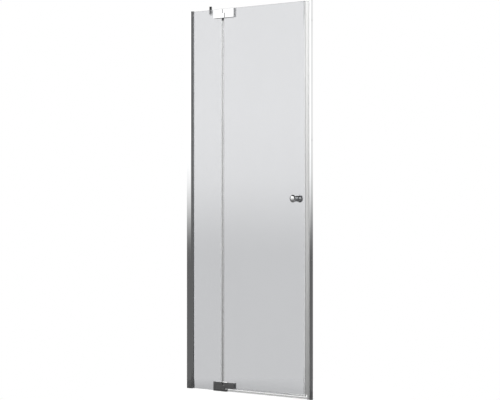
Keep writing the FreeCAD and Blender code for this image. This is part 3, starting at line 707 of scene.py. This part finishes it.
@dataclass
class Knob:
    """Turned knob on both faces of the door, with a slightly crowned face and a sloped border round it."""

    x: float = 0.794
    z: float = 1.0075
    base: float = 0.004
    length: float = 0.0275
    disc_radius: float = 0.0195
    disc: float = 0.0065
    face_radius: float = 0.012
    border_drop: float = 0.002
    face_edge: float = 0.0012
    rim: float = 0.0008
    back_rim: float = 0.0012
    waist: float = 0.015
    cove: float = 0.001
    crown: float = 0.0001
    bore: float = 0.00305
    bore_depth: float = 0.0123
    screw_hole: float = 0.00205
    screw_station: float = 0.006
    turns: int = 128
    drill_turns: int = 32
    rim_steps: int = 12
    face_steps: int = 10
    sharp_angle: float = 30.0
    weld: float = 1e-6
    flatness: float = 1e-7

    def outline(self, shape: bmesh.types.BMesh) -> None:
        """Half section of the knob in the YZ plane, from its face to the bottom of its bore.

        Args:
            shape: empty mesh that gets the section.
        """
        back = self.length - self.disc
        face = self.length - self.crown
        corners = (
            (face, 0.0), (face, self.face_radius), (self.length - self.border_drop, self.disc_radius),
            (back, self.disc_radius), (back, self.waist), (0.0, self.waist), (0.0, self.bore),
            (self.bore_depth, self.bore), (self.bore_depth, 0.0),
        )
        points = [shape.verts.new((0.0, along, radius)) for along, radius in corners]
        for first, second in zip(points, points[1:]):
            shape.edges.new((first, second))
        for corner, radius, steps in (
            (points[1], self.face_edge, self.rim_steps),
            (points[2], self.rim, self.rim_steps),
            (points[3], self.back_rim, self.rim_steps // 2),
            (points[4], self.cove, self.rim_steps // 2),
        ):
            bmesh.ops.bevel(
                shape, geom=[corner], offset=radius, offset_type="OFFSET", segments=steps, profile=0.5,
                affect="VERTICES", material=-1,
            )
        bmesh.ops.subdivide_edges(shape, edges=list(points[0].link_edges), cuts=self.face_steps)
        flat = self.face_radius - self.face_edge
        for vert in shape.verts:
            if vert.co.y > face - self.flatness:
                vert.co.y += self.crown * max(0.0, 1.0 - (vert.co.z / flat) ** 2)

    def build(self, side: Side) -> bpy.types.Object:
        """Turn one knob.

        Args:
            side: face of the door that it stands on.

        Returns:
            The knob, riding on the door in place of its node.
        """
        shape = bmesh.new()
        self.outline(shape)
        bmesh.ops.spin(
            shape, geom=[*shape.verts, *shape.edges], axis=(0.0, 1.0, 0.0), cent=(0.0, 0.0, 0.0),
            angle=math.tau, steps=self.turns, use_merge=True,
        )
        bmesh.ops.remove_doubles(shape, verts=shape.verts, dist=self.weld)
        bmesh.ops.scale(shape, verts=shape.verts, vec=(1.0, float(side.value), 1.0))
        bmesh.ops.translate(shape, verts=shape.verts, vec=(self.x, side.value * self.base, self.z))
        bmesh.ops.recalc_face_normals(shape, faces=shape.faces)
        node = f"knob_{side.name.lower()}"
        piece = new_piece(f"{node}_turned", shape)
        if side is Side.INNER:
            self.drill(piece)
        piece.data.shade_smooth()
        piece.data.set_sharp_from_angle(angle=math.radians(self.sharp_angle))
        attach(piece, Body.DOOR.value)
        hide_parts(node)
        return piece

    def drill(self, piece: bpy.types.Object) -> None:
        """Hole for the set screw, from below to the bore.

        Args:
            piece: knob to drill.
        """
        shape = bmesh.new()
        bmesh.ops.create_cone(
            shape, cap_ends=True, segments=self.drill_turns, radius1=self.screw_hole, radius2=self.screw_hole,
            depth=self.waist,
        )
        place = (self.x, self.base + self.screw_station, self.z - self.bore / 2 - self.waist / 2)
        bmesh.ops.translate(shape, verts=shape.verts, vec=place)
        drill = new_piece("set_screw_drill", shape)
        cut = piece.modifiers.new("set_screw_hole", "BOOLEAN")
        cut.object = drill
        cut.solver = "EXACT"
        bpy.context.view_layer.update()
        drilled = bpy.data.meshes.new_from_object(piece.evaluated_get(bpy.context.evaluated_depsgraph_get()))
        piece.modifiers.clear()
        piece.data = drilled
        bpy.data.objects.remove(drill)

    def dress(self, wardrobe: Wardrobe) -> None:
        """Make both knobs and finish them and what joins them through the glass.

        Args:
            wardrobe: gives each node its material.
        """
        for side in Side:
            piece = self.build(side)
            piece.data.materials.clear()
            piece.data.materials.append(wardrobe.material(CHROME))
            LOG.info("%s: %s", piece.name, CHROME.name)
        wardrobe.dress(CHROME, "knob_outer", "knob_inner")
        wardrobe.dress(STEEL, "knob_stud", "knob_grub_screw")
        wardrobe.dress(VINYL, "knob_washers", "knob_sleeve")


@dataclass
class Stabiliser:
    """Bar from the top of the fixed pane back to the wall."""

    def dress(self, wardrobe: Wardrobe) -> None:
        """Finish the clamp, the bar and the wall flange.

        Args:
            wardrobe: gives each node its material.
        """
        wardrobe.dress(CHROME, "stay_clamp", "stay_bar", "stay_flange")
        wardrobe.dress(STEEL, "stay_screws", "stay_grub_screw")
        wardrobe.dress(GREY_GASKET, "stay_liner")


@dataclass(frozen=True)
class Panel:
    """Upright panel that mirrors show: its direction, how it fades at its sides and top, and its glow.

    The sides are cosines of the level angle from its middle, and the top is a rise per unit of sight line.
    """

    side: Triple
    edge: Span
    top: Span
    glow: float


@dataclass
class Surround:
    """World that is white to the eye, also through glass, a studio in mirrors and plain light elsewhere.

    In mirrors, soft panels stand round the object and one hangs over it, the rest is dim, and all of it fades
    to the floor at the horizon. The floor is dark far off and paler close by, most of all on the two wings of
    the studio. A low white board stands on it at the back. Spans are the start and end of a soft step:
    cosines of a level angle for an edge, and a rise per unit of sight line for the others.
    """

    ambient: float = 0.41
    panels: tuple[Panel, ...] = (
        Panel((-0.707, -0.707, 0.0), (0.89, 0.97), (0.2, 0.34), 1.33),
        Panel((0.707, 0.707, 0.0), (0.9, 0.96), (0.48, 0.66), 0.93),
        Panel((-0.707, 0.707, 0.0), (0.87, 0.92), (0.5, 0.7), 1.4),
        Panel((0.92, -0.39, 0.0), (0.94, 0.985), (0.5, 0.7), 0.15),
    )
    dim: float = 0.04
    overhead: Span = (0.72, 0.86)
    overhead_glow: float = 0.6
    horizon: Span = (-0.03, 0.018)
    haze: float = 0.2
    haze_band: Span = (0.0, 0.045)
    floor_glow: float = 0.135
    steep: Span = (-0.26, -0.13)
    steep_glow: float = 0.03
    wing: Triple = (0.707, -0.707, 0.0)
    wing_edge: Span = (0.2, 0.7)
    wing_glow: float = 0.28
    wing_depth: Span = (-0.5, -0.3)
    deep_share: float = 0.2
    board: Triple = (-0.383, 0.924, 0.0)
    board_edge: Span = (0.965, 0.985)
    board_foot: Span = (-0.14, -0.1)
    board_glow: float = 1.1

    def build(self) -> None:
        """Set up the world."""
        world = bpy.data.worlds.new("white_surround")
        bpy.context.scene.world = world
        world.use_nodes = True
        graph = Graph(world.node_tree)
        path = graph.add("ShaderNodeLightPath")
        seen = graph.maths("MAXIMUM", path.outputs["Is Camera Ray"], path.outputs["Is Transmission Ray"])
        mirrored = graph.maths("MINIMUM", path.outputs["Glossy Depth"], 1.0)
        studio = self.background(graph, 1.0)
        graph.link(self.mirrored_studio(graph), studio.node.inputs["Strength"])
        plain = graph.mix(seen, self.background(graph, self.ambient), self.background(graph, 1.0))
        output = graph.add("ShaderNodeOutputWorld")
        graph.link(graph.mix(mirrored, plain, studio), output.inputs["Surface"])

    def background(self, graph: Graph, strength: float) -> bpy.types.NodeSocket:
        """White background light.

        Args:
            graph: the world's nodes.
            strength: its brightness, where 1 is white.

        Returns:
            Socket of the background.
        """
        node = graph.add("ShaderNodeBackground")
        node.inputs["Color"].default_value = (*WHITE, 1.0)
        node.inputs["Strength"].default_value = strength
        return node.outputs["Background"]

    def mirrored_studio(self, graph: Graph) -> bpy.types.NodeSocket:
        """Brightness of the studio in mirrors, by direction.

        Args:
            graph: the world's nodes.

        Returns:
            Socket with the brightness.
        """
        sight = graph.add("ShaderNodeTexCoord").outputs["Generated"]
        rise = graph.split(sight)[Axis.Z.value]
        level = graph.maths("POWER", graph.maths("SUBTRACT", 1.0, graph.maths("MULTIPLY", rise, rise)), 0.5)
        bright = graph.step(rise, self.overhead, (self.dim, self.overhead_glow))
        for panel in self.panels:
            turned = self.towards(graph, sight, level, panel.side)
            across = graph.step(turned, panel.edge, (0.0, panel.glow))
            shown = graph.maths("MULTIPLY", across, graph.step(rise, panel.top, (1.0, 0.0)))
            bright = graph.maths("MAXIMUM", shown, bright)
        low = graph.step(rise, self.horizon, (0.0, 1.0 - self.haze))
        rising = graph.maths("ADD", low, graph.step(rise, self.haze_band, (0.0, self.haze)))
        below = self.mirrored_floor(graph, sight, rise, level)
        above = graph.maths("MULTIPLY", rising, graph.maths("SUBTRACT", bright, below))
        return graph.maths("ADD", above, below)

    def mirrored_floor(
        self,
        graph: Graph,
        sight: bpy.types.NodeSocket,
        rise: bpy.types.NodeSocket,
        level: bpy.types.NodeSocket,
    ) -> bpy.types.NodeSocket:
        """Brightness of the floor in mirrors, with its wings and the board that stands on it.

        Args:
            graph: the world's nodes.
            sight: direction of the sight line.
            rise: its part along Z.
            level: length of its level part.

        Returns:
            Socket with the brightness.
        """
        wings = graph.absolute(self.towards(graph, sight, level, self.wing))
        sides = graph.step(wings, self.wing_edge, (0.0, self.wing_glow))
        depth = graph.step(rise, self.wing_depth, (self.deep_share, 1.0))
        lit = graph.maths("ADD", graph.maths("MULTIPLY", sides, depth), self.steep_glow)
        close = graph.maths("MULTIPLY", graph.step(rise, self.steep, (1.0, 0.0)), lit)
        turned = self.towards(graph, sight, level, self.board)
        across = graph.step(turned, self.board_edge, (0.0, self.board_glow))
        board = graph.maths("MULTIPLY", across, graph.step(rise, self.board_foot, (0.0, 1.0)))
        return graph.maths("ADD", close, board, self.floor_glow)

    def towards(
        self, graph: Graph, sight: bpy.types.NodeSocket, level: bpy.types.NodeSocket, side: Triple
    ) -> bpy.types.NodeSocket:
        """How far a sight line points to one side, seen from above.

        Args:
            graph: the world's nodes.
            sight: direction of the sight line.
            level: length of its level part.
            side: level direction of that side.

        Returns:
            Socket with the cosine of the level angle between them.
        """
        node = graph.add("ShaderNodeVectorMath", operation="DOT_PRODUCT")
        graph.link(sight, node.inputs[0])
        node.inputs[1].default_value = side
        return graph.maths("DIVIDE", node.outputs["Value"], level)


@dataclass
class Floor:
    """Pale floor that keeps the object's shadow, is darker and narrower in mirrors, and has painted shade
    close behind the glass.

    Spans are the start and end of a soft step in metres: along Y behind the glass for glow_reach and on both
    sides of it for mirrored_reach, and outwards from the middle for glow_rim.
    """

    middle: Triple = (0.45, 0.0, -0.0005)
    reach: float = 0.85
    turns: int = 96
    colour: Colour = (0.26, 0.26, 0.26)
    matt: float = 0.9
    bare_glow: float = 0.86
    # Glow through the glass close behind it, kept low as painted shade of the door on the floor.
    painted_shade_glow: float = 0.66
    far_glow: float = 0.8
    glow_reach: Span = (0.05, 0.75)
    glow_rim: Span = (0.45, 0.84)
    mirrored_colour: Colour = (0.14, 0.14, 0.14)
    mirrored_reach: Span = (0.2, 0.6)

    def build(self) -> bpy.types.Object:
        """Lay the floor.

        Returns:
            The floor.
        """
        shape = bmesh.new()
        bmesh.ops.create_circle(shape, cap_ends=True, segments=self.turns, radius=self.reach)
        bmesh.ops.translate(shape, verts=shape.verts, vec=self.middle)
        floor = new_piece("floor", shape)
        floor.data.materials.append(self.material())
        return floor

    def material(self) -> bpy.types.Material:
        """Material that glows to the eye, with painted shade close behind the glass, and fades out at its
        sides in mirrors.

        Returns:
            The finished material.
        """
        made = bpy.data.materials.new("pale_floor")
        made.use_nodes = True
        graph = Graph(made.node_tree)
        path = graph.add("ShaderNodeLightPath").outputs
        spot = graph.object_place()
        across = graph.split(spot)[Axis.Y.value]
        direct = graph.step(path["Glossy Depth"], (0.0, 1.0), (1.0, 0.0))
        through = graph.maths("MULTIPLY", path["Is Transmission Ray"], self.glow_behind(graph, spot, across))
        seen = graph.maths("ADD", through, graph.maths("MULTIPLY", path["Is Camera Ray"], self.bare_glow))
        shader = graph.add("ShaderNodeBsdfPrincipled")
        graph.link(graph.tones(direct, self.mirrored_colour, self.colour), shader.inputs["Base Color"])
        shader.inputs["Roughness"].default_value = self.matt
        shader.inputs["Specular IOR Level"].default_value = 0.0
        shader.inputs["Emission Color"].default_value = (*WHITE, 1.0)
        graph.link(graph.maths("MULTIPLY", seen, direct), shader.inputs["Emission Strength"])
        far = graph.step(graph.absolute(across), self.mirrored_reach, (0.0, 1.0))
        hidden = graph.maths("MULTIPLY", far, graph.maths("SUBTRACT", 1.0, direct))
        gone = graph.add("ShaderNodeBsdfTransparent")
        output = graph.add("ShaderNodeOutputMaterial")
        shown = graph.mix(hidden, shader.outputs["BSDF"], gone.outputs["BSDF"])
        graph.link(shown, output.inputs["Surface"])
        return made

    def glow_behind(
        self, graph: Graph, spot: bpy.types.NodeSocket, across: bpy.types.NodeSocket
    ) -> bpy.types.NodeSocket:
        """Glow of the floor through the glass, with painted shade close behind it: brighter far behind it and
        towards the floor's rim.

        Args:
            graph: the material's nodes.
            spot: place on the floor.
            across: its part along Y.

        Returns:
            Socket with the glow.
        """
        away = graph.add("ShaderNodeVectorMath", operation="DISTANCE")
        graph.link(spot, away.inputs[0])
        away.inputs[1].default_value = self.middle
        # The lower glow near the glass is painted shade.
        glows = (self.painted_shade_glow, self.far_glow)
        rim = graph.step(away.outputs["Value"], self.glow_rim, glows)
        return graph.maths("MAXIMUM", graph.step(across, self.glow_reach, glows), rim)


@dataclass(frozen=True)
class Lamp:
    """Square soft lamp aimed at the top of the door, with its power in watts."""

    name: str
    place: Triple
    power: float
    size: float = 1.0
    aim: Triple = (0.45, 0.0, 2.1)

    def hang(self) -> None:
        """Hang the lamp, which mirrors and glass don't show."""
        data = bpy.data.lights.new(self.name, "AREA")
        data.energy = self.power
        data.size = self.size
        lamp = bpy.data.objects.new(self.name, data)
        bpy.context.scene.collection.objects.link(lamp)
        lamp.location = self.place
        lamp.rotation_mode = "QUATERNION"
        lamp.rotation_quaternion = (Vector(self.aim) - Vector(self.place)).to_track_quat("-Z", "Y")
        lamp.visible_glossy = False
        lamp.visible_camera = False
        lamp.visible_transmission = False


@dataclass
class Camera:
    """Camera at the height of the middle of the door, turned across the niche."""

    eye: Triple = (7.545, -7.083, 0.996)
    turn: float = 45.0
    lens: float = 139.72
    sensor: float = 36.0
    lift: float = 0.0018
    reach: float = 200.0

    def build(self) -> None:
        """Set up the camera and look through it."""
        data = bpy.data.cameras.new("camera")
        data.sensor_width = self.sensor
        data.lens = self.lens
        data.shift_y = self.lift
        data.clip_end = self.reach
        camera = bpy.data.objects.new("camera", data)
        bpy.context.scene.collection.objects.link(camera)
        camera.location = self.eye
        camera.rotation_euler = (math.radians(90.0), 0.0, math.radians(self.turn))
        bpy.context.scene.camera = camera


@dataclass
class Studio:
    """White surround, pale floor, soft lamps and the camera."""

    lamps: tuple[Lamp, ...] = (
        Lamp("key_lamp", (-0.3, -1.5, 2.2), 20.0),
        Lamp("fill_lamp", (1.6, -1.5, 2.2), 22.0),
        Lamp("back_lamp", (0.6, 1.6, 2.2), 22.0),
    )

    def build(self) -> None:
        """Set up everything round the object."""
        Surround().build()
        Floor().build()
        for lamp in self.lamps:
            lamp.hang()
        Camera().build()
        bpy.context.scene.view_settings.view_transform = "Standard"


@dataclass
class ShowerDoor:
    """Whole door, sub-assembly by sub-assembly."""

    hinges: list[PivotHinge] = field(default_factory=lambda: [PivotHinge("top"), PivotHinge("bottom")])

    def dress(self, wardrobe: Wardrobe) -> None:
        """Finish every sub-assembly."""
        for part in (WallProfile(), Panes(), *self.hinges, Seals(), Knob(), Stabiliser()):
            part.dress(wardrobe)


def main() -> None:
    """Load the frame, dress it and set up the studio."""
    logging.basicConfig(level=logging.INFO, format="%(name)s: %(message)s")
    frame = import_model()
    wardrobe = Wardrobe(frame["nodes"])
    ShowerDoor().dress(wardrobe)
    LOG.info("nodes left bare: %s", wardrobe.bare())
    Studio().build()
    bpy.context.view_layer.update()


if __name__ == "__main__":
    main()
